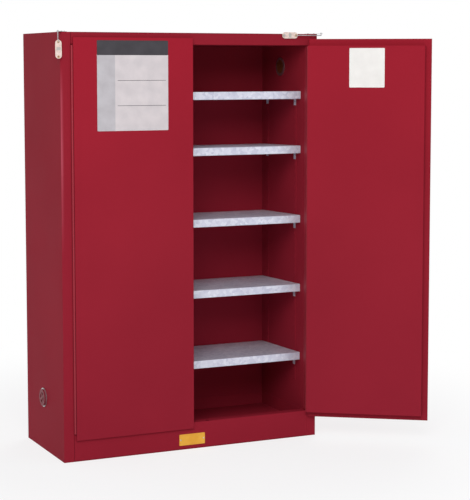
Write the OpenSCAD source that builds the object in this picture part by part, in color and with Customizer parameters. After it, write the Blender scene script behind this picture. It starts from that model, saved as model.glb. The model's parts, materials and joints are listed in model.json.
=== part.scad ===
// Two-door safety storage cabinet with double sheet-steel walls, five hanging
// shelves, a leak-proof sump and fusible-link hold-opens.
// Frame: +Z up, the doors face -Y, origin at the middle of the footprint on the floor.

/* [Cabinet shell] */
// Overall width of the shell
cab_w = 1092.2; // [860:1:1500]
// Overall depth of the shell, without the doors
cab_d = 457.2; // [400:1:900]
// Overall height of the shell
cab_h = 1651; // [1600:1:1900]
// Thickness of the sheet steel
gauge = 1.2; // [1:0.1:2]
// Inside radius of the folds
bend_r = 1.6; // [1:0.1:3]
// Width of the frame's stiles, which is also the thickness of the double walls
stile_w = 42; // [38:1:60]
// Height of the frame's top rail
header_h = 46; // [40:1:70]
// Height of the sill above the floor
sill_h = 106; // [100:1:140]
// Depth of the leak-proof sump below the sill
sump_depth = 51; // [40:1:56]
// Depth of the returns that line the door opening
jamb_d = 38; // [34:1:50]

/* [Doors] */
// Angle at which the right door stands open
right_open = 145.5; // [0:0.5:145.5]
// Angle at which the left door stands open
left_open = 0; // [0:0.5:145.5]
// Gap between the closed doors
doors_gap = 10; // [6:1:20]
// Lap of the doors over the top rail
lap_top = 26; // [18:1:30]
// Lap of the doors over the sill
lap_bottom = 22; // [14:1:30]
// Thickness of the outer skin's folded edge
door_edge = 9; // [8:0.5:12]
// Depth of the inner pan behind the outer skin
pan_depth = 30; // [30:1:34]
// Distance from the free edge of the skin to the inner pan
pan_inset = 25; // [20:1:32]
// Number of knuckles along each continuous hinge
knuckle_n = 31; // [21:2:41]

/* [Latch] */
// Height of the handle above the floor
latch_z = 860; // [800:1:1000]
// Distance of the latch rods from the free edge of the door
latch_inset = 57; // [54:1:80]
// Radius of the latch rods
rod_r = 6; // [5:0.5:6]
// Radius of the circle on which the cam's drive pins turn
cam_r = 12; // [12:0.5:14]
// Length of the handle's lever
lever_l = 112; // [90:1:130]

/* [Shelves] */
// Height of the lowest shelf above the floor
shelf_first_z = 341; // [300:1:380]
// Least distance of the top shelf below the top of the shell
shelf_drop = 230; // [220:1:300]
// Spacing of the slots that carry the shelves
slot_pitch = 31.75; // [30:0.25:32]
// Distance of the shelves' front lips behind the frame's face
shelf_set = 57; // [54:1:80]
// Height of the shelves' front lips
shelf_lip = 32; // [26:1:36]
// Fall of the shelves from the front to the back
shelf_fall = 8; // [4:1:10]

/* [Vents and fittings] */
// Inside radius of the vent tubes
vent_r = 28; // [24:0.5:30]
// Height of the left vent
vent_low_z = 210; // [200:1:240]
// Distance of the right vent below the top of the shell
vent_drop = 131; // [118:1:150]
// Distance of the vents behind the frame's face
vent_y = 245; // [200:1:260]
// Length of the fusible links
link_l = 70; // [60:1:76]
// Width of the fusible links
link_w = 25; // [20:1:25]

/* [Hidden] */
$fn = 48;
e = 0.5;                                   // overcut, so that no cutter ends on a face
run_fit = 0.05;                            // radial clearance of turning and sliding fits
play = 0.4;                                // loose clearance between small pieces
weld = 0.1;                                // overlap inside the metal where sheets join
half_w = cab_w / 2;
half_d = cab_d / 2;
front = -half_d;
top_z = cab_h - gauge;                     // underside of the top panel's sheet
open_z = cab_h - header_h;                 // top of the door opening
bore_x = half_w - stile_w;                 // half the width of the opening and of the interior
liner_front = front + jamb_d;
liner_back = half_d - stile_w;             // face of the back liner
sump_z = sill_h - sump_depth;              // underside of the sump's floor
rear_flange = 25;                          // width of the side panels' flanges at the back
tray_flange = 14;                          // height of the top's and the base's flanges
header_flange = 16;                        // depth of the top rail's upper flange
sill_flange = 24;                          // depth of the sill's lower flange
liner_flange = 18;                         // width of the side liners' flanges at the back

// continuous hinges: two leaves in the gap between jamb and door, barrel just in front
leaf_t = 1.6;
leaf_gap = 0.8;
barrel_r = 4;
hinge_pin_r = 1.6;
leaf_d = 28;
hinge_off = barrel_r + 0.5;                // the axis in front of the frame's face
hinge_x = bore_x - leaf_t - leaf_gap / 2;
hinge_y = front - hinge_off;

// doors, in a frame with the hinge axis at x = 0, y = 0 and x towards the free edge
door_w = hinge_x - doors_gap / 2;
door_z0 = sill_h - lap_bottom;
door_z1 = open_z + lap_top;
skin_back = hinge_off - 1;                 // 1 mm clear of the frame's face
skin_front = skin_back - door_edge;
skin_x0 = barrel_r + 0.6;
skin_hem = 12;                             // width of the skin's return beside the hinge
frame_lap = 15;                            // how far the skin's returns reach behind the pan
skin_return = pan_inset + frame_lap;
pan_back = skin_back + pan_depth;
pan_x0 = leaf_gap / 2 + leaf_t;
pan_x1 = door_w - pan_inset;
pan_z0 = sill_h + 1.5;
pan_z1 = open_z - 1.5;
pan_lip = 14;
hinge_z0 = pan_z0 + 2;
hinge_z1 = pan_z1 - 2;
knuckle_l = (hinge_z1 - hinge_z0) / knuckle_n;

// latch, in the same frame
latch_x = door_w - latch_inset;
rod_y = 18;
rod_drive_a = 45;                          // the cam turns from -45 to +45 degrees
rod_stroke = 2 * cam_r * sin(rod_drive_a);
cam_t = 4;
cam_front = rod_y - 3 - cam_t;
drive_pin_r = 3;
yoke_t = 4;
yoke_w = cam_r + 6;
spindle_r = 5;
guide_r = rod_r + 3;
yoke_z = 34;                               // from the cam to the root of the round rod
yoke_top = 56;
plate_t = 4;
plate_r = 27;
boss_r = 16;
boss_l = 33;
boss_front = skin_front - plate_t - boss_l;
boss_back = skin_front - plate_t - play;
lever_t = 10;
plug_r = 6;
plug_d = 13;
strike_r = rod_r + 1.5;

// shelves
slots_up = floor((cab_h - shelf_drop - shelf_first_z) / slot_pitch);
shelf_steps = [for (i = [0:4]) min(round(i * slots_up * 0.265), slots_up)];
standard_t = 1.8;
standard_w = 20;
shelf_half = bore_x - standard_t - 0.5;
shelf_front = front + shelf_set;
shelf_rear = liner_back - 4;
clip_t = 2;
clip_w = 16;
clip_ledge = 15;
clip_leg = 24;
slot_w = 4;
slot_h = 12;
slot_first = shelf_first_z - shelf_lip - clip_t - clip_leg / 2;
slot_n = slots_up + 3;
standard_inset = 50;
standard_y = [shelf_front + standard_inset, shelf_rear - standard_inset];
lip_in = 12;                               // width of the lips' inward folds

// vents
tube_t = 3;
ring_r = vent_r + 10;
ring_t = 3;
vent_yy = front + vent_y;
vent_high_z = cab_h - vent_drop;           // above the top shelf
vent_fit = 0.1;                            // radial clearance of the tubes in the walls
arrester_t = 8;
bung_t = 6;

// earthing stud
stud_r = 4;
stud_end_r = 3;                            // free end, which takes the earth wire's lug
stud_end_l = 16;
stud_y = 150;
stud_z = 120;
nut_t = 6.5;

// levelling feet
foot_x = bore_x - 40;
foot_y = half_d - 60;
pad_r = 19;
pad_t = 7;
screw_r = 6;
screw_top = 46;
bridge_z = 22;

// hold-open hooks and links
hook_x = half_w + 12;                      // where the links hang, just past the corners
hook_y = front - 12;
wire_r = 1.6;
strap_t = 1.6;
strap_w = 14;
link_t = 1.2;
link_hole_r = wire_r + play;
link_end = 7;                              // from a link's end to its hole
link_hang_z = open_z + 8;
anchor_inset = 112;
anchor_x = bore_x - anchor_inset;
anchor_z = cab_h - 6;
anchor_r = 3;

RED = "firebrick";
ZINC = "lightsteelblue";
STEEL = "silver";
BRASS = "goldenrod";

// ---- folded sheet ---------------------------------------------------------------------

function unit(v) = v / norm(v);
function left_of(v) = [-v[1], v[0]];
function turned(v, a) = [v[0] * cos(a) - v[1] * sin(a), v[0] * sin(a) + v[1] * cos(a)];
function cross_2(a, b) = a[0] * b[1] - a[1] * b[0];

// points and normals round one fold of the path p0, p1, p2
function fold_at(p0, p1, p2) =
    let (d1 = unit(p1 - p0), d2 = unit(p2 - p1), a = atan2(cross_2(d1, d2), d1 * d2))
    let (s = sign(a), r = s > 0 ? bend_r + gauge : bend_r)
    let (centre = p1 - d1 * r * tan(abs(a) / 2) + left_of(d1) * r * s)
    [for (i = [0:3]) let (n = turned(left_of(d1), a * i / 3)) [centre - n * r * s, n]];

// outline of a sheet whose outside face follows path, with the metal on the path's left
function sheet_outline(path) =
    let (m = len(path))
    let (line = [
        [path[0], left_of(unit(path[1] - path[0]))],
        for (i = [1:1:m - 2]) each fold_at(path[i - 1], path[i], path[i + 1]),
        [path[m - 1], left_of(unit(path[m - 1] - path[m - 2]))]
    ])
    [for (q = line) q[0], for (i = [len(line) - 1:-1:0]) line[i][0] + line[i][1] * gauge];

module folded_z(path, z0, z1) {
    translate([0, 0, z0]) linear_extrude(z1 - z0) polygon(sheet_outline(path));
}

// path in the y-z plane, extruded along x
module folded_x(path, x0, x1) {
    translate([x0, 0, 0]) rotate([90, 0, 90]) linear_extrude(x1 - x0) polygon(sheet_outline(path));
}

module slab(lo, hi) {
    translate(lo) cube(hi - lo);
}

module rod_between(a, b, r) {
    d = b - a;
    translate(a)
        rotate([0, acos(d[2] / norm(d)), atan2(d[1], d[0])])
            cylinder(r = r, h = norm(d));
}

module wire(points) {
    for (i = [0:len(points) - 2]) rod_between(points[i], points[i + 1], wire_r);
    for (p = points) translate(p) sphere(r = wire_r);
}

module mirrored_x() {
    mirror([1, 0, 0]) children();
}

// ---- shell ----------------------------------------------------------------------------

// one sheet folded into rear flange, side, stile and jamb return
module side_panel() {
    rear = half_d - gauge;
    difference() {
        folded_z([
            [-half_w + rear_flange, rear], [-half_w, rear], [-half_w, front],
            [-bore_x, front], [-bore_x, liner_front]
        ], gauge, top_z);
        children();
    }
}

module vent_hole(z) {
    translate([-half_w - e, vent_yy, z])
        rotate([0, 90, 0]) cylinder(r = vent_r + tube_t + vent_fit, h = stile_w + 2 * e);
}

module left_side_panel() {
    color(RED) side_panel() vent_hole(vent_low_z);
}

module right_side_panel() {
    color(RED) mirrored_x() side_panel() {
        vent_hole(vent_high_z);
        translate([-half_w - e, stud_y, stud_z])
            rotate([0, 90, 0]) cylinder(r = stud_r + run_fit, h = gauge + 2 * e);
    }
}

module back_panel() {
    color(RED) slab([-half_w, half_d - gauge, gauge], [half_w, half_d, top_z]);
}

// flat sheet with a flange along both sides and the back, for the top and the base
module tray_panel() {
    inner_x = half_w - gauge;
    inner_y = half_d - 2 * gauge;
    slab([-half_w, -half_d, 0], [half_w, half_d, gauge]);
    for (s = [0, 1]) mirror([s, 0, 0])
        slab([inner_x - gauge, front + stile_w, 0], [inner_x, inner_y - bend_r, tray_flange]);
    slab([-inner_x + bend_r, inner_y - gauge, 0], [inner_x - bend_r, inner_y, tray_flange]);
}

module top_panel() {
    color(RED) translate([0, 0, cab_h]) mirror([0, 0, 1]) tray_panel();
}

module base_panel() {
    color(RED) difference() {
        tray_panel();
        for (x = [-foot_x, foot_x], y = [-foot_y, foot_y])
            translate([x, y, -e]) cylinder(r = pad_r + 2, h = gauge + 2 * e);
    }
}

module strike_hole(z) {
    translate([hinge_x - latch_x, hinge_y + rod_y, z - e])
        cylinder(r = strike_r, h = gauge + 2 * e);
}

module header_rail() {
    color(RED) difference() {
        folded_x([
            [front + header_flange, top_z], [front, top_z], [front, open_z], [liner_front, open_z]
        ], -bore_x, bore_x);
        strike_hole(open_z);
    }
}

module sill_rail() {
    color(RED) difference() {
        folded_x([
            [liner_front, sill_h], [front, sill_h], [front, gauge], [front + sill_flange, gauge]
        ], -bore_x, bore_x);
        strike_hole(sill_h - gauge);
    }
}

// ---- liner and sump -------------------------------------------------------------------

module side_liner() {
    difference() {
        folded_z([
            [-bore_x + liner_flange, liner_back + 2 * gauge],
            [-bore_x - gauge, liner_back + 2 * gauge], [-bore_x - gauge, liner_front]
        ], sump_z, open_z + gauge);
        children();
    }
}

module left_liner() {
    color(RED) side_liner() vent_hole(vent_low_z);
}

module right_liner() {
    color(RED) mirrored_x() side_liner() vent_hole(vent_high_z);
}

module back_liner() {
    edge = bore_x - bend_r - play;
    color(RED) slab([-edge, liner_back, sump_z], [edge, liner_back + gauge, open_z + gauge]);
}

module ceiling_liner() {
    color(RED) slab([-bore_x, liner_front, open_z], [bore_x, liner_back, open_z + gauge]);
}

// tray with four walls, welded inside the liner and against the sill's return
module sump_pan() {
    back = liner_back - max(bend_r - gauge, 0);
    color(RED) difference() {
        slab([-bore_x, liner_front, sump_z], [bore_x, back, sill_h]);
        slab([-bore_x + gauge, liner_front + gauge, sump_z + gauge],
             [bore_x - gauge, back - gauge, sill_h + e]);
    }
}

// ---- shelves --------------------------------------------------------------------------

module shelf_standard(y) {
    z0 = slot_first - 2 * slot_pitch;
    difference() {
        slab([-bore_x, y - standard_w / 2, z0 - slot_h],
             [-bore_x + standard_t, y + standard_w / 2, z0 + (slot_n - 1) * slot_pitch + slot_h]);
        for (k = [0:slot_n - 1])
            translate([-bore_x + standard_t / 2, y, z0 + k * slot_pitch])
                cube([standard_t + 2 * e, slot_w, slot_h], center = true);
    }
}

module shelf_standards_left() {
    color(ZINC) for (y = standard_y) shelf_standard(y);
}

module shelf_standards_right() {
    color(ZINC) mirrored_x() for (y = standard_y) shelf_standard(y);
}

// angle clip with a tab in one slot of the standard
module shelf_clip(y, z) {
    x0 = -bore_x + standard_t;
    slab([x0, y - clip_w / 2, z - clip_t], [x0 + clip_ledge, y + clip_w / 2, z]);
    slab([x0, y - clip_w / 2, z - clip_t - clip_leg], [x0 + clip_t, y + clip_w / 2, z - clip_t]);
    slab([x0 - standard_t + 0.2, y - slot_w / 2 + 0.3, z - clip_t - clip_leg / 2 - slot_h / 2 + 1],
         [x0, y + slot_w / 2 - 0.3, z - clip_t - clip_leg / 2 + slot_h / 2 - 1]);
}

function shelf_z(i) = shelf_first_z + shelf_steps[i] * slot_pitch;

module shelf_clips() {
    color(ZINC) for (s = [0, 1], i = [0:4], y = standard_y)
        mirror([s, 0, 0]) shelf_clip(y, shelf_z(i) - shelf_lip);
}

// deck that falls to the back, with lips turned down and in on all four sides
module shelf(i) {
    z = shelf_z(i);
    low = z - shelf_lip;
    inner = gauge - weld;
    color(ZINC) {
        folded_x([
            [shelf_rear - lip_in, low], [shelf_rear, low], [shelf_rear, z - shelf_fall],
            [shelf_front, z], [shelf_front, low], [shelf_front + lip_in, low]
        ], -shelf_half, shelf_half);
        for (s = [0, 1]) mirror([s, 0, 0]) {
            translate([shelf_half - gauge, 0, 0]) rotate([90, 0, 90]) linear_extrude(gauge)
                polygon([
                    [shelf_front + inner, low], [shelf_rear - inner, low],
                    [shelf_rear - inner, z - shelf_fall - gauge / 2],
                    [shelf_front + inner, z - gauge / 2]
                ]);
            slab([shelf_half - lip_in, shelf_front + lip_in - 1, low],
                 [shelf_half, shelf_rear - lip_in + 1, low + gauge]);
        }
    }
}

module shelf_1() shelf(0);
module shelf_2() shelf(1);
module shelf_3() shelf(2);
module shelf_4() shelf(3);
module shelf_5() shelf(4);

// ---- continuous hinges ----------------------------------------------------------------

module at_left_hinge(angle) {
    translate([-hinge_x, hinge_y, 0]) rotate([0, 0, -angle]) children();
}

module at_right_hinge(angle) {
    translate([hinge_x, hinge_y, 0]) rotate([0, 0, angle]) mirrored_x() children();
}

// the leaf on the door's side of the gap; first is 0 or 1, the first knuckle it carries
module hinge_leaf(first) {
    x0 = leaf_gap / 2;
    difference() {
        union() {
            slab([x0, barrel_r + 0.6, hinge_z0], [x0 + leaf_t, leaf_d, hinge_z1]);
            for (k = [first:2:knuckle_n - 1]) {
                z0 = hinge_z0 + k * knuckle_l + 0.2;
                z1 = hinge_z0 + (k + 1) * knuckle_l - 0.2;
                translate([0, 0, z0]) cylinder(r = barrel_r, h = z1 - z0);
                slab([x0, 0, z0], [x0 + leaf_t, barrel_r + 0.7, z1]);
            }
        }
        translate([0, 0, hinge_z0 - e])
            cylinder(r = hinge_pin_r + run_fit, h = hinge_z1 - hinge_z0 + 2 * e);
    }
}

module hinge_pin() {
    translate([0, 0, hinge_z0]) cylinder(r = hinge_pin_r, h = hinge_z1 - hinge_z0);
}

module left_hinge_frame_leaf() {
    color(RED) at_left_hinge(0) mirrored_x() hinge_leaf(0);
}

module left_hinge_door_leaf() {
    color(RED) at_left_hinge(left_open) hinge_leaf(1);
}

module left_hinge_pin() {
    color(STEEL) at_left_hinge(0) hinge_pin();
}

module right_hinge_frame_leaf() {
    color(RED) at_right_hinge(0) mirrored_x() hinge_leaf(0);
}

module right_hinge_door_leaf() {
    color(RED) at_right_hinge(right_open) hinge_leaf(1);
}

module right_hinge_pin() {
    color(STEEL) at_right_hinge(0) hinge_pin();
}

// ---- doors ----------------------------------------------------------------------------

// shallow outer tray with broad returns behind it
module door_skin() {
    inner = gauge - weld;
    folded_z([
        [skin_x0 + skin_hem, skin_back], [skin_x0, skin_back], [skin_x0, skin_front],
        [door_w, skin_front], [door_w, skin_back], [door_w - skin_return, skin_back]
    ], door_z0, door_z1);
    for (top = [0, 1]) {
        z_edge = top ? door_z1 : door_z0;
        z_in = top ? -1 : 1;
        z_back = top ? pan_z1 - frame_lap : pan_z0 + frame_lap;
        slab([skin_x0 + inner, skin_front + inner, min(z_edge, z_edge + z_in * gauge)],
             [door_w - inner, skin_back, max(z_edge, z_edge + z_in * gauge)]);
        slab([skin_x0 + skin_hem - weld, skin_back - gauge, min(z_edge, z_back)],
             [door_w - skin_return + weld, skin_back, max(z_edge, z_back)]);
    }
}

// deep inner tray that fills the door opening, open towards the skin
module door_pan() {
    inner = gauge - weld;
    folded_z([
        [pan_x1 - pan_lip, skin_back], [pan_x1, skin_back], [pan_x1, pan_back],
        [pan_x0, pan_back], [pan_x0, skin_back], [pan_x0 + pan_lip, skin_back]
    ], pan_z0, pan_z1);
    for (top = [0, 1]) {
        z_edge = top ? pan_z1 : pan_z0;
        z_in = top ? -1 : 1;
        slab([pan_x0 + inner, skin_back, min(z_edge, z_edge + z_in * gauge)],
             [pan_x1 - inner, pan_back - inner, max(z_edge, z_edge + z_in * gauge)]);
        slab([pan_x0 + pan_lip - weld, skin_back, min(z_edge, z_edge + z_in * pan_lip)],
             [pan_x1 - pan_lip + weld, skin_back + gauge, max(z_edge, z_edge + z_in * pan_lip)]);
    }
}

module left_door_skin() {
    color(RED) at_left_hinge(left_open) door_skin();
}

module left_door_pan() {
    color(RED) at_left_hinge(left_open) door_pan();
}

module right_door_skin() {
    color(RED) at_right_hinge(right_open) difference() {
        door_skin();
        translate([latch_x, skin_front - e, latch_z]) rotate([-90, 0, 0])
            cylinder(r = spindle_r + play, h = gauge + 2 * e);
    }
}

module right_door_pan() {
    color(RED) at_right_hinge(right_open) difference() {
        door_pan();
        for (z = [pan_z0, pan_z1 - gauge])
            translate([latch_x, rod_y, z - e]) cylinder(r = guide_r + run_fit, h = gauge + 2 * e);
    }
}

// ---- latch ----------------------------------------------------------------------------

module at_latch() {
    at_right_hinge(right_open) translate([latch_x, 0, latch_z]) children();
}

// cylinder along y between two depths
module along_y(y0, y1, r) {
    translate([0, y0, 0]) rotate([-90, 0, 0]) cylinder(r = r, h = y1 - y0);
}

module handle_plate() {
    color(STEEL) at_latch() difference() {
        along_y(skin_front - plate_t, skin_front, plate_r);
        along_y(skin_front - plate_t - e, skin_front + e, spindle_r + run_fit);
    }
}

// turning lever with a round end; it points up while the rods are drawn back
module latch_handle() {
    color("dimgray") at_latch() difference() {
        union() {
            along_y(boss_front, boss_back, boss_r);
            translate([0, boss_front + lever_t, 0]) rotate([90, 0, 0]) linear_extrude(lever_t) {
                polygon([[-12, 0], [12, 0], [8, lever_l - 8], [-8, lever_l - 8]]);
                translate([0, lever_l - 8]) circle(r = 8);
            }
        }
        along_y(boss_front - e, boss_front + plug_d + 1, plug_r + run_fit);
        along_y(boss_front + plug_d + 4, boss_back + e, spindle_r + run_fit);
    }
}

module lock_plug() {
    color(STEEL) at_latch() difference() {
        along_y(boss_front - 1, boss_front + plug_d, plug_r);
        slab([-0.9, boss_front - 1 - e, -4], [0.9, boss_front + 6, 4]);
    }
}

// spindle, disc and the two pins that drive the rods
module latch_cam() {
    color(STEEL) at_latch() {
        along_y(boss_front + plug_d + 5, cam_front + 1, spindle_r);
        along_y(cam_front, cam_front + cam_t, cam_r + drive_pin_r + 3);
        for (s = [-1, 1])
            translate([s * cam_r * cos(rod_drive_a), 0, -s * cam_r * sin(rod_drive_a)])
                along_y(cam_front + cam_t - 1, rod_y + yoke_t, drive_pin_r);
    }
}

// rod that ends in a slotted yoke round one drive pin; length is from the cam to the tip
module latch_rod(length) {
    pin_z = -cam_r * sin(rod_drive_a);
    difference() {
        union() {
            translate([0, rod_y, yoke_z]) cylinder(r = rod_r, h = length - yoke_z);
            slab([2, rod_y - yoke_t / 2, pin_z - 8], [2 + yoke_w, rod_y + yoke_t / 2, yoke_top]);
        }
        slab([cam_r * cos(rod_drive_a) - drive_pin_r - play, rod_y - 10, pin_z - drive_pin_r - 0.6],
             [cam_r + drive_pin_r + play, rod_y + 10, pin_z + drive_pin_r + 0.6]);
    }
}

module upper_latch_rod() {
    color(STEEL) at_latch() latch_rod(pan_z1 - latch_z - 0.5);
}

module lower_latch_rod() {
    color(STEEL) at_latch() rotate([0, 180, 0]) latch_rod(latch_z - pan_z0 - 0.5);
}

module rod_guide() {
    difference() {
        union() {
            cylinder(r = guide_r, h = gauge + 2);
            translate([0, 0, gauge]) cylinder(r = guide_r + 2.5, h = 3);
        }
        translate([0, 0, -e]) cylinder(r = rod_r + run_fit, h = gauge + 3 + 2 * e);
    }
}

module rod_guides() {
    color("black") at_right_hinge(right_open) translate([latch_x, rod_y, 0]) {
        translate([0, 0, pan_z0]) rod_guide();
        translate([0, 0, pan_z1]) mirror([0, 0, 1]) rod_guide();
    }
}

// ---- vents ----------------------------------------------------------------------------

// cylinder along x on the left vent's axis, from the shell's outside face inwards
module along_vent(z, x0, x1, r) {
    translate([-half_w + x0, vent_yy, z]) rotate([0, 90, 0]) cylinder(r = r, h = x1 - x0);
}

// sleeve through both walls with a ring outside and a lock ring inside
module vent_tube(z) {
    difference() {
        union() {
            along_vent(z, -ring_t, stile_w + ring_t, vent_r + tube_t);
            along_vent(z, -ring_t, 0, ring_r);
            along_vent(z, stile_w, stile_w + ring_t, ring_r);
        }
        along_vent(z, -ring_t - e, stile_w + ring_t + e, vent_r);
    }
}

// screwed bung with a round recess and a grip bar across it
module vent_bung(z) {
    bar = 5;
    difference() {
        union() {
            along_vent(z, -ring_t - bung_t, -ring_t, vent_r + 5);
            along_vent(z, -ring_t, 16, vent_r - run_fit);
        }
        difference() {
            along_vent(z, -ring_t - bung_t - e, 4, vent_r - 7);
            for (a = [-30, 60])
                translate([-half_w, vent_yy, z]) rotate([a, 0, 0])
                    slab([-ring_t - bung_t - 2 * e, -vent_r, -bar], [5, vent_r, bar]);
        }
    }
}

// thick perforated disc in the tube's inner end
module flame_arrester(z) {
    x0 = stile_w + ring_t - arrester_t;
    difference() {
        along_vent(z, x0, stile_w + ring_t, vent_r - run_fit);
        for (ring = [1:3], i = [1:6 * ring]) {
            a = 360 * i / (6 * ring);
            translate([0, 7.4 * ring * cos(a), 7.4 * ring * sin(a)])
                along_vent(z, x0 - e, stile_w + ring_t + e, 2.4);
        }
        along_vent(z, x0 - e, stile_w + ring_t + e, 2.4);
    }
}

module left_vent_tube() {
    color(STEEL) vent_tube(vent_low_z);
}

module right_vent_tube() {
    color(STEEL) mirrored_x() vent_tube(vent_high_z);
}

module left_vent_bung() {
    color(STEEL) vent_bung(vent_low_z);
}

module right_vent_bung() {
    color(STEEL) mirrored_x() vent_bung(vent_high_z);
}

module left_flame_arrester() {
    color(BRASS) flame_arrester(vent_low_z);
}

module right_flame_arrester() {
    color(BRASS) mirrored_x() flame_arrester(vent_high_z);
}

// ---- earthing stud --------------------------------------------------------------------

module along_stud(x0, x1, r, sides = 48) {
    translate([half_w + x0, stud_y, stud_z]) rotate([0, 90, 0]) cylinder(r = r, h = x1 - x0, $fn = sides);
}

module ground_stud() {
    color(BRASS) {
        along_stud(-gauge - 4, -gauge, 8);
        along_stud(-gauge - 1, nut_t, stud_r);
        along_stud(nut_t - 1, nut_t + stud_end_l, stud_end_r);
    }
}

module ground_nut() {
    color(BRASS) difference() {
        along_stud(0, nut_t, 7.5, 6);
        along_stud(-e, nut_t + e, stud_r + run_fit);
    }
}

// ---- levelling feet -------------------------------------------------------------------

module foot() {
    cylinder(r = pad_r, h = pad_t);
    translate([0, 0, pad_t - 1]) cylinder(r = screw_r, h = screw_top - pad_t + 1);
}

module front_left_foot() {
    color(STEEL) translate([-foot_x, -foot_y, 0]) foot();
}

module front_right_foot() {
    color(STEEL) translate([foot_x, -foot_y, 0]) foot();
}

module rear_left_foot() {
    color(STEEL) translate([-foot_x, foot_y, 0]) foot();
}

module rear_right_foot() {
    color(STEEL) translate([foot_x, foot_y, 0]) foot();
}

// hat section over each foot; its thick crown carries the foot's screw
module foot_bridge() {
    half = 27;
    difference() {
        translate([0, 26, 0]) rotate([90, 0, 0]) linear_extrude(52) polygon([
            [-half - 10, gauge], [-half, gauge], [-half, bridge_z - 2], [half, bridge_z - 2],
            [half, gauge], [half + 10, gauge], [half + 10, gauge + 2], [half + 2, gauge + 2],
            [half + 2, bridge_z + 6], [-half - 2, bridge_z + 6], [-half - 2, gauge + 2],
            [-half - 10, gauge + 2]
        ]);
        cylinder(r = screw_r + run_fit, h = bridge_z + 8);
    }
}

module foot_bridges() {
    color(STEEL) for (x = [-foot_x, foot_x], y = [-foot_y, foot_y])
        translate([x, y, 0]) foot_bridge();
}

// ---- hold-open hooks and links --------------------------------------------------------

// strap on the top panel that reaches past the corner and carries the hook
module hook_strap() {
    reach = norm([hook_x - half_w, hook_y - front]);
    difference() {
        translate([-hook_x, hook_y, cab_h]) rotate([0, 0, 45]) linear_extrude(strap_t) {
            circle(r = strap_w / 2);
            translate([0, -strap_w / 2]) square([reach + 46, strap_w]);
            translate([reach + 46, 0]) circle(r = strap_w / 2);
        }
        translate([-hook_x, hook_y, cab_h - e]) cylinder(r = wire_r + run_fit, h = strap_t + 2 * e);
    }
}

module hook_straps() {
    color(STEEL) for (s = [0, 1]) mirror([s, 0, 0]) hook_strap();
}

// flat link of two lapped strips joined by solder, along -z from its upper hole
module fusible_link() {
    r = link_w / 2;
    span = link_l - 2 * link_end;
    strip = link_l * 0.68;
    difference() {
        for (side = [0, 1])
            translate([0, side ? -link_t + weld : 0, 0]) rotate([90, 0, 0]) linear_extrude(link_t)
                round_strip(r, side ? link_end - link_l + strip : link_end, strip);
        for (z = [0, -span]) translate([0, 0, z]) along_y(-3 * link_t, 2 * link_t, link_hole_r);
    }
}

// strip with round ends, down from the height hi
module round_strip(r, hi, length) {
    translate([0, hi - r]) circle(r = r);
    translate([0, hi - length + r]) circle(r = r);
    translate([-r, hi - length + r]) square([2 * r, length - 2 * r]);
}

module left_fusible_link() {
    color(BRASS) translate([-hook_x, hook_y - 4, link_hang_z]) fusible_link();
}

// wire from the strap, bent forward through the link's hole and up at its tip
module left_link_hook() {
    color(STEEL) {
        wire([
            [-hook_x, hook_y, cab_h + strap_t + 3], [-hook_x, hook_y, link_hang_z],
            [-hook_x, hook_y - 9, link_hang_z], [-hook_x, hook_y - 9, link_hang_z + 7]
        ]);
        translate([-hook_x, hook_y, cab_h + strap_t]) cylinder(r = 3.2, h = 3.2);
    }
}

// the right link lies along the top rail, from the anchor to the corner's hook
module right_fusible_link() {
    color(BRASS) translate([anchor_x + link_l - 2 * link_end, hook_y + 8, anchor_z])
        rotate([0, 90, 0]) fusible_link();
}

module right_link_hook() {
    near = anchor_x + link_l - 2 * link_end;
    color(STEEL) {
        wire([
            [near, hook_y + 10, anchor_z], [near, hook_y, anchor_z],
            [hook_x, hook_y, anchor_z], [hook_x, hook_y, cab_h + strap_t + 3]
        ]);
        translate([hook_x, hook_y, cab_h + strap_t]) cylinder(r = 3.2, h = 3.2);
    }
}

// headed stud on the top rail
module link_anchor() {
    color(STEEL) translate([anchor_x, 0, anchor_z]) {
        along_y(hook_y + 2, front, link_hole_r - run_fit);
        along_y(hook_y + 1, hook_y + 3, 5);
    }
}

left_side_panel();
right_side_panel();
back_panel();
top_panel();
base_panel();
header_rail();
sill_rail();
left_liner();
right_liner();
back_liner();
ceiling_liner();
sump_pan();
shelf_standards_left();
shelf_standards_right();
shelf_clips();
shelf_1();
shelf_2();
shelf_3();
shelf_4();
shelf_5();
left_hinge_frame_leaf();
left_hinge_door_leaf();
left_hinge_pin();
right_hinge_frame_leaf();
right_hinge_door_leaf();
right_hinge_pin();
left_door_skin();
left_door_pan();
right_door_skin();
right_door_pan();
handle_plate();
latch_handle();
lock_plug();
latch_cam();
upper_latch_rod();
lower_latch_rod();
rod_guides();
left_vent_tube();
right_vent_tube();
left_vent_bung();
right_vent_bung();
left_flame_arrester();
right_flame_arrester();
ground_stud();
ground_nut();
front_left_foot();
front_right_foot();
rear_left_foot();
rear_right_foot();
foot_bridges();
hook_straps();
left_link_hook();
right_link_hook();
link_anchor();
left_fusible_link();
right_fusible_link();
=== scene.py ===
"""Looks of the two-door safety storage cabinet: powder coat, galvanised shelves, bare plates, rivets,
screws, eyelets and spot welds, with the floor, the lights and the camera."""
import json
import math

import bmesh
import bpy
from mathutils import Matrix, Vector


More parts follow.
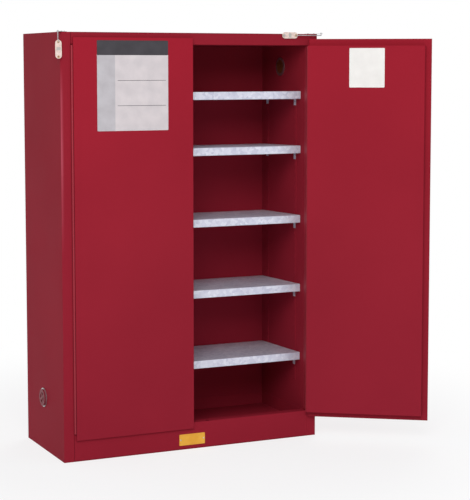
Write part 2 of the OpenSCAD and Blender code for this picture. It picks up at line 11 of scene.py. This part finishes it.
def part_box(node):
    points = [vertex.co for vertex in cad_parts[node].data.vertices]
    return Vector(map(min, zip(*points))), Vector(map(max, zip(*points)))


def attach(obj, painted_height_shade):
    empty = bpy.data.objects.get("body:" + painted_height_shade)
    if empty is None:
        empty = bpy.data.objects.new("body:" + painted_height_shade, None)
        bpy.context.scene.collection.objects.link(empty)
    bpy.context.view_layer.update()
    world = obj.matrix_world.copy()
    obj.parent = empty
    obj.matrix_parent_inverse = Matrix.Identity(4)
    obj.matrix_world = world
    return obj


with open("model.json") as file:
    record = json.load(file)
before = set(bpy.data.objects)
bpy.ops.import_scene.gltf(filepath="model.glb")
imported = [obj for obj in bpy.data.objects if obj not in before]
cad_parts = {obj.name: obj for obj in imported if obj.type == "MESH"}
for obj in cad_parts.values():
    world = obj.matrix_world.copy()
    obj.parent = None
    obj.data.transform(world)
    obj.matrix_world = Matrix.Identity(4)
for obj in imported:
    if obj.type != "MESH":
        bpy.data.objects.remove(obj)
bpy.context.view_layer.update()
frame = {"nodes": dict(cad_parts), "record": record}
NODES = frame["nodes"]
RECORD = frame["record"]

# ---- places that come from the frame --------------------------------------------------

X, Z = Vector((1, 0, 0)), Vector((0, 0, 1))
JOINTS = {j["name"]: j for j in RECORD["behaviour"]["joints"]}
SIDE_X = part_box("right_side_panel")[1].x                           # outer face of the right side
FRONT_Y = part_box("header_rail")[0].y
TOP_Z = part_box("top_panel")[1].z
DOOR_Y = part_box("left_door_skin")[0].y                             # face of the closed left door
RIGHT_HINGE = Vector(JOINTS["right_door_hinge"]["pos_m"])
SPINDLE = Vector(JOINTS["handle_turn"]["pos_m"])
OUT_OF_DOOR = -Vector(JOINTS["handle_turn"]["axis"]).normalized()  # out of the right door's face
TO_FREE_EDGE = OUT_OF_DOOR.cross(Z)                                # along the right door

# ---- camera ---------------------------------------------------------------------------

FRAME_H = 500                        # the picture's height in pixels, its longer side
FOCAL_PX = 1548.0                    # focal length in the picture's pixels
SENSOR_MM = 36.0
CAMERA_AT = Vector((-2.431, -5.798, 1.525))
CAMERA_YAW = math.radians(-25.11)
CAMERA_PITCH = math.radians(-5.52)
CAMERA_SHIFT = -0.07


def make_camera():
    """The photo's camera."""
    data = bpy.data.cameras.new("camera")
    data.sensor_width = SENSOR_MM
    data.lens = FOCAL_PX / FRAME_H * SENSOR_MM
    data.shift_y = CAMERA_SHIFT
    cam = bpy.data.objects.new("camera", data)
    cam.location = CAMERA_AT
    cam.rotation_euler = (math.pi / 2 + CAMERA_PITCH, 0, CAMERA_YAW)
    bpy.context.scene.collection.objects.link(cam)
    bpy.context.scene.camera = cam


# ---- shader helpers -------------------------------------------------------------------

def srgb(r, g, b):
    """Linear colour of an 8-bit sRGB triple."""
    def one(v):
        v /= 255
        return v / 12.92 if v <= 0.04045 else ((v + 0.055) / 1.055) ** 2.4
    return (one(r), one(g), one(b), 1.0)


def grey(v):
    """Linear grey that multiplies a colour by v."""
    return (v, v, v, 1)


class Shader:
    """A node tree with one Principled shader, built from object coordinates."""

    def __init__(self, name):
        self.mat = bpy.data.materials.new(name)
        self.mat.use_nodes = True
        self.tree = self.mat.node_tree
        self.out = self.tree.nodes["Material Output"]
        self.bsdf = self.tree.nodes["Principled BSDF"]
        self.coord = self.new("ShaderNodeTexCoord").outputs["Object"]

    def new(self, kind, **props):
        n = self.tree.nodes.new(kind)
        for k, v in props.items():
            setattr(n, k, v)
        return n

    def link(self, a, b):
        self.tree.links.new(a, b)

    def set(self, **values):
        """Constants on the shader's own sockets; _ stands for a space in a socket's name."""
        for key, v in values.items():
            self.bsdf.inputs[key.replace("_", " ")].default_value = v

    def noise(self, scale, detail=3.0, rough=0.5, stretch=(1, 1, 1)):
        """Noise from 0 to 1; stretch scales each axis first."""
        m = self.new("ShaderNodeMapping")
        m.inputs["Scale"].default_value = stretch
        self.link(self.coord, m.inputs["Vector"])
        n = self.new("ShaderNodeTexNoise")
        n.inputs["Scale"].default_value = scale
        n.inputs["Detail"].default_value = detail
        n.inputs["Roughness"].default_value = rough
        self.link(m.outputs["Vector"], n.inputs["Vector"])
        return n.outputs["Fac"]

    def ramp(self, fac, *stops):
        """Colour ramp; stops are (position, colour)."""
        r = self.new("ShaderNodeValToRGB")
        while len(r.color_ramp.elements) < len(stops):
            r.color_ramp.elements.new(0.5)
        for el, (pos, col) in zip(r.color_ramp.elements, stops):
            el.position, el.color = pos, col
        self.link(fac, r.inputs["Fac"])
        return r.outputs["Color"]

    def mix(self, fac, a, b, kind="MIX"):
        """Mix of two colours; each argument is a socket or a constant."""
        m = self.new("ShaderNodeMix", data_type="RGBA", blend_type=kind)
        for socket, v in ((m.inputs[0], fac), (m.inputs[6], a), (m.inputs[7], b)):
            if isinstance(v, bpy.types.NodeSocket):
                self.link(v, socket)
            else:
                socket.default_value = v
        return m.outputs[2]

    def times(self, a, b):
        """Product of two sockets."""
        m = self.new("ShaderNodeMath", operation="MULTIPLY")
        self.link(a, m.inputs[0])
        self.link(b, m.inputs[1])
        return m.outputs[0]

    def spread(self, value, lo, hi, interpolation="LINEAR"):
        """0 where value is lo and 1 where it is hi."""
        m = self.new("ShaderNodeMapRange", interpolation_type=interpolation)
        m.inputs["From Min"].default_value = lo
        m.inputs["From Max"].default_value = hi
        self.link(value, m.inputs["Value"])
        return m.outputs["Result"]

    def along(self, which):
        """Object coordinate on one axis, in metres."""
        sep = self.new("ShaderNodeSeparateXYZ")
        self.link(self.coord, sep.inputs["Vector"])
        return sep.outputs[which]

    def axis(self, which, lo, hi):
        """0 at lo and 1 at hi along one object axis, in metres."""
        return self.spread(self.along(which), lo, hi)

    def bump(self, height, distance, strength):
        b = self.new("ShaderNodeBump")
        b.inputs["Distance"].default_value = distance
        b.inputs["Strength"].default_value = strength
        self.link(height, b.inputs["Height"])
        self.link(b.outputs["Normal"], self.bsdf.inputs["Normal"])

    def base(self, colour):
        self.link(colour, self.bsdf.inputs["Base Color"])

    def rough(self, fac, lo, hi):
        """Roughness between lo and hi."""
        m = self.new("ShaderNodeMapRange")
        m.inputs["To Min"].default_value = lo
        m.inputs["To Max"].default_value = hi
        self.link(fac, m.inputs["Value"])
        self.link(m.outputs["Result"], self.bsdf.inputs["Roughness"])


# ---- finishes -------------------------------------------------------------------------

FOLD_HIGHLIGHT = srgb(178, 76, 90)        # painted highlight on the shell's front folds
FOLD_IN, FOLD_OUT = 0.012, 0.002     # where the painted highlight band starts and is full, from the side face
FOLD_DEEP, FOLD_FRONT = 0.004, 0.001  # the same, from the front face
HIGHLIGHT_LOW = (0.8, 1.15)                # heights between which the painted highlight sets in
HIGHLIGHT_HIGH = (1.52, 1.40)              # and between which it ends


def painted_fold_highlight(s):
    """1 where a highlight is painted on the shell's two upright front folds, mottled and fading with
    height; 0 elsewhere.
    """
    side = s.new("ShaderNodeMath", operation="ABSOLUTE")
    s.link(s.along("X"), side.inputs[0])
    highlight_mask = s.spread(side.outputs[0], SIDE_X - FOLD_IN, SIDE_X - FOLD_OUT, "SMOOTHSTEP")
    patch = s.ramp(s.noise(7.0), (0.3, grey(0.55)), (0.6, grey(1)))
    front = s.axis("Y", FRONT_Y + FOLD_DEEP, FRONT_Y + FOLD_FRONT)
    for part in (front, s.axis("Z", *HIGHLIGHT_LOW), s.axis("Z", *HIGHLIGHT_HIGH), patch):
        highlight_mask = s.times(highlight_mask, part)
    return highlight_mask


def powder_coat(name, top, middle, low, ior=1.07, highlight_folds=False):
    """Red powder coat with painted light and shade that changes a little with height, with faint
    orange peel and dulled patches, and where asked a painted highlight on the front folds.
    """
    s = Shader(name)
    # painted light and shade: the coat's colour is set at the bottom, the middle and the top
    painted_height_shade = s.ramp(s.axis("Z", 0.0, TOP_Z), (0.0, low), (0.5, middle), (1.0, top))
    cloud = s.ramp(s.noise(2.2, 2.0), (0.3, grey(0.95)), (0.7, grey(1.04)))
    speck = s.ramp(s.noise(900.0, 1.0, 0.4), (0.35, grey(0.96)), (0.65, grey(1)))
    coat = s.mix(1.0, s.mix(1.0, painted_height_shade, cloud, "MULTIPLY"), speck, "MULTIPLY")
    # painted highlight on the shell's front folds, mixed over the coat
    s.base(s.mix(painted_fold_highlight(s), coat, FOLD_HIGHLIGHT) if highlight_folds else coat)
    s.rough(s.noise(6.0, 3.0, 0.55), 0.42, 0.54)
    s.bump(s.noise(420.0, 2.0), 0.0004, 0.12)
    s.set(IOR=ior)
    return s.mat


def galvanised():
    """Zinc-coated sheet with soft crystal spangle and fine rolling lines."""
    s = Shader("galvanised_sheet")
    crystals = s.new("ShaderNodeTexVoronoi")
    crystals.inputs["Scale"].default_value = 85.0
    s.link(s.coord, crystals.inputs["Vector"])
    hue = s.new("ShaderNodeSeparateColor")
    s.link(crystals.outputs["Color"], hue.inputs["Color"])
    spangle = s.ramp(hue.outputs["Red"], (0.0, srgb(206, 208, 224)), (1.0, srgb(232, 234, 244)))
    haze = s.ramp(s.noise(9.0), (0.3, (0.9, 0.9, 0.92, 1)), (0.7, grey(1.04)))
    s.base(s.mix(1.0, spangle, haze, "MULTIPLY"))
    s.set(Metallic=0.3)
    lines = s.noise(60.0, 4.0, 0.6, (1.0, 30.0, 30.0))
    s.rough(lines, 0.34, 0.5)
    s.bump(lines, 0.0003, 0.15)
    return s.mat


def plated(name, dark, light, rough=(0.22, 0.38)):
    """Plated steel or brass."""
    s = Shader(name)
    s.base(s.ramp(s.noise(55.0, 4.0, 0.6), (0.3, dark), (0.75, light)))
    s.set(Metallic=0.9)
    fine = s.noise(500.0)
    s.rough(fine, *rough)
    s.bump(fine, 0.0002, 0.1)
    return s.mat


def satin(name, dark, light, rough=(0.45, 0.6)):
    """Paint, enamel, solder or plastic without metallic shine."""
    s = Shader(name)
    s.base(s.ramp(s.noise(24.0), (0.3, dark), (0.75, light)))
    fine = s.noise(600.0, 2.0)
    s.rough(fine, *rough)
    s.bump(fine, 0.0003, 0.12)
    return s.mat


def link_metal():
    """Pale, faintly mottled metal of the fusible links."""
    s = Shader("link_metal")
    s.base(s.ramp(s.noise(160.0, 4.0), (0.3, srgb(214, 190, 178)), (0.75, srgb(244, 226, 216))))
    s.set(Metallic=0.45)
    s.rough(s.noise(300.0), 0.35, 0.55)
    s.bump(s.noise(300.0), 0.0002, 0.1)
    return s.mat


# Each coat's colour at the top, the middle and the bottom. The steps between them are painted light
# and shade: the door is lighter at the top and darker low down, the shell darker at the top than in
# the middle, and the hinge darker low down.
SHELL_REDS = srgb(147, 35, 48), srgb(152, 36, 51), srgb(150, 36, 51)
DOOR_REDS = srgb(161, 34, 49), srgb(154, 37, 51), srgb(149, 37, 52)
HINGE_REDS = srgb(156, 38, 52), srgb(156, 38, 52), srgb(152, 38, 52)
BUNG_REDS = (srgb(122, 36, 48),) * 3

MATERIALS = {
    # the shell's coat carries the painted highlight on its two front folds
    "shell_red": powder_coat("shell_red", *SHELL_REDS, highlight_folds=True),
    "door_red": powder_coat("door_red", *DOOR_REDS),
    "galvanised": galvanised(),
    "plated_steel": plated("plated_steel", srgb(150, 150, 152), srgb(205, 205, 206)),
    "zinc": plated("zinc", srgb(140, 142, 146), srgb(186, 188, 190), (0.35, 0.5)),
    "brass": plated("brass", srgb(150, 116, 58), srgb(200, 164, 98)),
    "link_metal": link_metal(),
    "handle_black": satin("handle_black", srgb(24, 24, 26), srgb(38, 38, 41)),
    "nylon": satin("nylon", srgb(22, 22, 22), srgb(34, 34, 34), (0.5, 0.65)),
}
HINGE_RED = powder_coat("hinge_red", *HINGE_REDS, 1.4)
BUNG_RED = powder_coat("bung_red", *BUNG_REDS, 1.35)
PLATE_DARK = satin("plate_dark", srgb(44, 40, 46), srgb(58, 54, 60), (0.35, 0.45))
PLATE_PALE = satin("plate_pale", srgb(206, 198, 199), srgb(220, 211, 211), (0.45, 0.55))
PLATE_GREY = satin("plate_grey", srgb(182, 177, 180), srgb(198, 194, 197), (0.45, 0.55))
PLATE_WHITE = satin("plate_white", srgb(236, 233, 227), srgb(245, 242, 236), (0.45, 0.55))
PLATE_AMBER = satin("plate_amber", srgb(236, 168, 44), srgb(246, 188, 62), (0.4, 0.5))
SOLDER = satin("solder", srgb(178, 174, 166), srgb(206, 203, 196), (0.3, 0.45))


def dress_cad():
    """Each node takes its slot's finish; hinge leaves and vent bungs take a glossier red coat."""
    slots = {s["node"]: s["material_slot"] for s in RECORD["subparts"]}
    painted = {"frame_leaf": HINGE_RED, "door_leaf": HINGE_RED, "vent_bung": BUNG_RED}
    for name, obj in NODES.items():
        coats = [coat for ending, coat in painted.items() if name.endswith(ending)]
        obj.data.materials.clear()
        obj.data.materials.append(coats[0] if coats else MATERIALS[slots[name]])


# ---- mesh helpers ---------------------------------------------------------------------

def mesh_piece(name, bm, material, painted_height_shade):
    """A bmesh as an object that rides on a body."""
    me = bpy.data.meshes.new(name)
    bm.to_mesh(me)
    bm.free()
    me.materials.append(material)
    obj = bpy.data.objects.new(name, me)
    bpy.context.scene.collection.objects.link(obj)
    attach(obj, painted_height_shade)
    return obj


def basis(origin, right, up):
    """Matrix that puts x along right, y along up and z out of the surface."""
    right, up = right.normalized(), up.normalized()
    m = Matrix((right, up, right.cross(up))).transposed().to_4x4()
    m.translation = origin
    return m


def front_basis(x, y, z):
    """Place on a surface that faces the front."""
    return basis(Vector((x, y, z)), X, Z)


DECAL = 0.0006                       # thickness of a plain plate
PLATE_R = 0.003                      # its corner radius


def plate(name, place, width, height, thick, material, painted_height_shade, radius=PLATE_R, at=(0, 0)):
    """Thin plate with round corners and a small edge bevel, lying on the surface z = 0 of place."""
    corner_steps = 4
    rim_share = 0.4                  # the rim's bevel, as a share of the thickness
    bm = bmesh.new()
    ring = []
    for cx, cy, start in ((1, 1, 0), (-1, 1, 90), (-1, -1, 180), (1, -1, 270)):
        for i in range(corner_steps + 1):
            a = math.radians(start + 90 / corner_steps * i)
            ring.append(bm.verts.new((
                at[0] + cx * (width / 2 - radius) + radius * math.cos(a),
                at[1] + cy * (height / 2 - radius) + radius * math.sin(a), 0)))
    face = bm.faces.new(ring)
    top = bmesh.ops.extrude_face_region(bm, geom=[face])
    top_verts = [v for v in top["geom"] if isinstance(v, bmesh.types.BMVert)]
    bmesh.ops.translate(bm, vec=(0, 0, thick), verts=top_verts)
    rim = [e for e in bm.edges if all(abs(v.co.z - thick) < 1e-9 for v in e.verts)]
    bmesh.ops.bevel(bm, geom=rim, offset=thick * rim_share, segments=2, profile=0.5, affect="EDGES")
    bmesh.ops.recalc_face_normals(bm, faces=bm.faces)
    bmesh.ops.transform(bm, matrix=place, verts=bm.verts)
    mesh_piece(name, bm, material, painted_height_shade)


def turned(name, places, profile, material, painted_height_shade, steps=24):
    """Turned piece, such as a rivet head, at each matrix in places; profile is (radius, height)."""
    bm = bmesh.new()
    turns = [2 * math.pi * i / steps for i in range(steps)]
    for place in places:
        rings = []
        for radius, height in profile:
            if radius == 0:
                rings.append([bm.verts.new(place @ Vector((0, 0, height)))] * steps)
                continue
            rings.append([
                bm.verts.new(place @ Vector((radius * math.cos(a), radius * math.sin(a), height)))
                for a in turns])
        for low, high in zip(rings, rings[1:]):
            for i in range(steps):
                j = (i + 1) % steps
                corners = list(dict.fromkeys((low[i], low[j], high[j], high[i])))
                bm.faces.new(corners)
    bmesh.ops.recalc_face_normals(bm, faces=bm.faces)
    mesh_piece(name, bm, material, painted_height_shade).data.shade_smooth()


# profiles of the small turned pieces, as (radius, height)
SPOT = [(0.0050, 0), (0.0044, 0.0003), (0.0030, 0.0001), (0, 0.0001)]
RIVET = [(0.0030, 0), (0.0028, 0.0006), (0.0019, 0.0012), (0, 0.0015)]
SCREW = [(0.0046, 0), (0.0046, 0.0006), (0.0034, 0.0008), (0.0030, 0.0018), (0.0016, 0.0024),
         (0, 0.0026)]
EYELET = [(0.0048, 0), (0.0046, 0.0005), (0.0036, 0.0009), (0.0028, 0.0005), (0.0026, 0)]

# ---- plates ---------------------------------------------------------------------------

RULE = 0.0016                        # width of the ruled lines on the door's label plate


def label_plates():
    """Bare plates where the cabinet carries its labels; they hold no words and no signs."""
    middle_x, middle_z = -0.2575, 1.4475
    width, height, band, column = 0.292, 0.345, 0.056, 0.073
    rule_inset = 0.02
    place = front_basis(middle_x, DOOR_Y, middle_z)

    def layer(name, wide, high, thick, material, radius=PLATE_R, at=(0, 0)):
        plate(name, place, wide, high, thick * DECAL, material, "left_door", radius, at)

    layer("door_label", width, height, 1, PLATE_PALE)
    layer("door_label_band", width, band, 1.6, PLATE_DARK, at=(0, height / 2 - band / 2))
    layer("door_label_column", column, height - band, 1.4, PLATE_GREY,
          at=(-width / 2 + column / 2, -band / 2))
    row = (height - band) / 3
    for i in (1, 2):
        layer("door_label_rule_%d" % i, width - column - rule_inset, RULE, 1.8, PLATE_DARK, RULE / 3,
              (column / 2, height / 2 - band - i * row))


def sill_plate():
    """Amber plate on the sill, with a rivet at each end."""
    middle_x, middle_z = -0.010, 0.039
    width, height, thick, rivet_inset = 0.111, 0.045, 2 * DECAL, 0.006
    place = front_basis(middle_x, FRONT_Y, middle_z)
    plate("sill_plate", place, width, height, thick, PLATE_AMBER, "cabinet")
    ends = [place @ Matrix.Translation((side * (width / 2 - rivet_inset), 0, thick))
            for side in (-1, 1)]
    turned("sill_plate_rivets", ends, RIVET, MATERIALS["plated_steel"], "cabinet")


def face_of(node, direction):
    """How far a node reaches along a direction."""
    return max(direction.dot(v.co) for v in NODES[node].data.vertices)


def inner_door_plate():
    """White plate on the right door's inner pan, high up."""
    across, middle_z = 0.2415, 1.5155  # the plate's middle, from the hinge axis and the floor
    width, height = 0.141, 0.157
    depth = OUT_OF_DOOR.dot(RIGHT_HINGE) + face_of("right_door_pan", -OUT_OF_DOOR)
    at = RIGHT_HINGE + TO_FREE_EDGE * across - OUT_OF_DOOR * depth
    at.z = middle_z
    place = basis(at, TO_FREE_EDGE, Z)
    plate("inner_door_plate", place, width, height, 1.4 * DECAL, PLATE_WHITE, "right_door")


# ---- small fasteners ------------------------------------------------------------------

SCREW_STEPS = 0.014, 0.038           # from the shell's corner to the strap's two screws
SPOT_EDGE = 0.0125                   # from a side's face to its row of welds; half at top and base
SPOT_PITCH = 0.0762                  # about this far apart
HANDLE_SCREW_R = 0.0215              # from the spindle to the screws beside it
LINK_END = 0.007                     # from a link's end to its hole
LINK_STRIP = 0.0011                  # from a link's front strip to the face of its back strip


def strap_screws():
    """Two screws through each corner strap into the top panel."""
    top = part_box("hook_straps")[1].z
    places = []
    for side in (-1, 1):
        corner = Vector((side * SIDE_X, FRONT_Y, top))
        inward = Vector((-side, 1, 0)).normalized()
        for step in SCREW_STEPS:
            places.append(Matrix.Translation(corner + inward * step))
    turned("strap_screws", places, SCREW, MATERIALS["plated_steel"], "cabinet")


def spot_welds():
    """Rows of welds where the back panel lies on the flanges of the sides, the top and the base."""
    back_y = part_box("back_panel")[1].y
    wide = SIDE_X - SPOT_EDGE
    rows = round(TOP_Z / SPOT_PITCH)
    columns = round(2 * wide / SPOT_PITCH)
    spots = [(side * wide, (i + 0.5) * TOP_Z / rows) for side in (-1, 1) for i in range(rows)]
    spots += [(-wide + i * 2 * wide / columns, z)
              for z in (SPOT_EDGE / 2, TOP_Z - SPOT_EDGE / 2) for i in range(1, columns)]
    places = [basis(Vector((x, back_y, z)), -X, Z) for x, z in spots]
    turned("back_spot_welds", places, SPOT, MATERIALS["shell_red"], "cabinet", steps=12)


def handle_screws():
    """Two screws beside the spindle, through the round plate on the right door's outer face."""
    lift = face_of("handle_plate", OUT_OF_DOOR) - OUT_OF_DOOR.dot(SPINDLE)
    middle = SPINDLE + OUT_OF_DOOR * lift
    places = [basis(middle + TO_FREE_EDGE * side * HANDLE_SCREW_R, -TO_FREE_EDGE, Z)
              for side in (-1, 1)]
    turned("handle_plate_screws", places, RIVET, MATERIALS["plated_steel"], "right_door")


def link_fittings():
    """Eyelets round the fusible links' holes and a patch of solder on their lap."""
    lap_rise, lap_length, lap_width = 0.002, 0.012, 0.017
    lo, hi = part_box("left_fusible_link")
    mid_x, mid_z = (lo.x + hi.x) / 2, (lo.z + hi.z) / 2
    eyes = [front_basis(mid_x, lo.y + LINK_STRIP, hi.z - LINK_END),
            front_basis(mid_x, lo.y, lo.z + LINK_END)]
    turned("left_link_eyelets", eyes, EYELET, MATERIALS["brass"], "hanging_link")
    plate("left_link_solder", front_basis(mid_x, lo.y, mid_z + lap_rise), lap_width, lap_length,
          DECAL, SOLDER, "hanging_link")
    lo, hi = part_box("right_fusible_link")
    mid_x, mid_z = (lo.x + hi.x) / 2, (lo.z + hi.z) / 2
    eyes = [front_basis(hi.x - LINK_END, lo.y + LINK_STRIP, mid_z),
            front_basis(lo.x + LINK_END, lo.y, mid_z)]
    turned("right_link_eyelets", eyes, EYELET, MATERIALS["brass"], "cabinet")
    plate("right_link_solder", front_basis(mid_x, lo.y, mid_z), lap_length, lap_width,
          DECAL, SOLDER, "cabinet")


# ---- stage ----------------------------------------------------------------------------

FLOOR_HALF = 30                      # half the floor's side, in metres
FLOOR_NEAR, FLOOR_FAR = 0.8, 2.2     # metres over which the floor fades to white
FLOOR_WHITE = 0.75                   # share of white beside the object, over its shadow
SKY = (0.92, 0.94, 1.0, 1)           # soft light from all around
SKY_STRENGTH = 0.5
AIM = (0, 0, 0.9)                    # the middle of the cabinet
LAMP_SIZE = (3.0, 3.0)


def seen_rays(tree):
    """1 for a camera, glossy or transmission ray."""
    path = tree.nodes.new("ShaderNodeLightPath")
    seen = path.outputs["Is Camera Ray"]
    for kind in ("Is Glossy Ray", "Is Transmission Ray"):
        either = tree.nodes.new("ShaderNodeMath")
        either.operation = "MAXIMUM"
        tree.links.new(seen, either.inputs[0])
        tree.links.new(path.outputs[kind], either.inputs[1])
        seen = either.outputs[0]
    return seen


def make_floor():
    """Pale paper that fades to the white background where it is seen directly or in a reflection."""
    bm = bmesh.new()
    bmesh.ops.create_grid(bm, x_segments=1, y_segments=1, size=FLOOR_HALF)
    me = bpy.data.meshes.new("floor")
    bm.to_mesh(me)
    bm.free()
    floor = bpy.data.objects.new("floor", me)
    s = Shader("floor_paper")
    s.base(s.ramp(s.noise(1.5), (0.3, srgb(250, 250, 250)), (0.7, srgb(253, 253, 253))))
    s.set(Roughness=0.9, Specular_IOR_Level=0.1)
    distance = s.new("ShaderNodeVectorMath", operation="LENGTH")
    s.link(s.coord, distance.inputs[0])
    fade = s.new("ShaderNodeMapRange", interpolation_type="SMOOTHSTEP")
    fade.inputs["From Min"].default_value = FLOOR_NEAR
    fade.inputs["From Max"].default_value = FLOOR_FAR
    fade.inputs["To Min"].default_value = FLOOR_WHITE
    s.link(distance.outputs["Value"], fade.inputs["Value"])
    white = s.new("ShaderNodeEmission")
    mix = s.new("ShaderNodeMixShader")
    s.link(s.times(fade.outputs["Result"], seen_rays(s.tree)), mix.inputs["Fac"])
    s.link(s.bsdf.outputs["BSDF"], mix.inputs[1])
    s.link(white.outputs["Emission"], mix.inputs[2])
    s.link(mix.outputs["Shader"], s.out.inputs["Surface"])
    me.materials.append(s.mat)
    bpy.context.scene.collection.objects.link(floor)


def make_sky():
    """White where it is seen, and a soft cool light everywhere else."""
    world = bpy.data.worlds.new("studio")
    bpy.context.scene.world = world
    world.use_nodes = True
    tree = world.node_tree
    soft = tree.nodes["Background"]
    soft.inputs["Color"].default_value = SKY
    soft.inputs["Strength"].default_value = SKY_STRENGTH
    white = tree.nodes.new("ShaderNodeBackground")
    white.inputs["Color"].default_value = (1, 1, 1, 1)
    white.inputs["Strength"].default_value = 1.0
    mix = tree.nodes.new("ShaderNodeMixShader")
    tree.links.new(seen_rays(tree), mix.inputs["Fac"])
    tree.links.new(soft.outputs["Background"], mix.inputs[1])
    tree.links.new(white.outputs["Background"], mix.inputs[2])
    tree.links.new(mix.outputs["Shader"], tree.nodes["World Output"].inputs["Surface"])


def area_light(name, at, power):
    """Square lamp that points at the middle of the cabinet; power is in watts."""
    data = bpy.data.lights.new(name, "AREA")
    data.shape = "RECTANGLE"
    data.size, data.size_y = LAMP_SIZE
    data.energy = power
    obj = bpy.data.objects.new(name, data)
    obj.location = at
    obj.rotation_euler = (Vector(AIM) - Vector(at)).to_track_quat("-Z", "Y").to_euler()
    bpy.context.scene.collection.objects.link(obj)


make_camera()
dress_cad()
label_plates()
sill_plate()
inner_door_plate()
strap_screws()
spot_welds()
handle_screws()
link_fittings()
make_floor()
make_sky()
area_light("key", (-2.4, -5.0, 4.0), 182)
area_light("rim", (3.6, 4.2, 3.0), 100)
bpy.context.scene.view_settings.view_transform = "Standard"
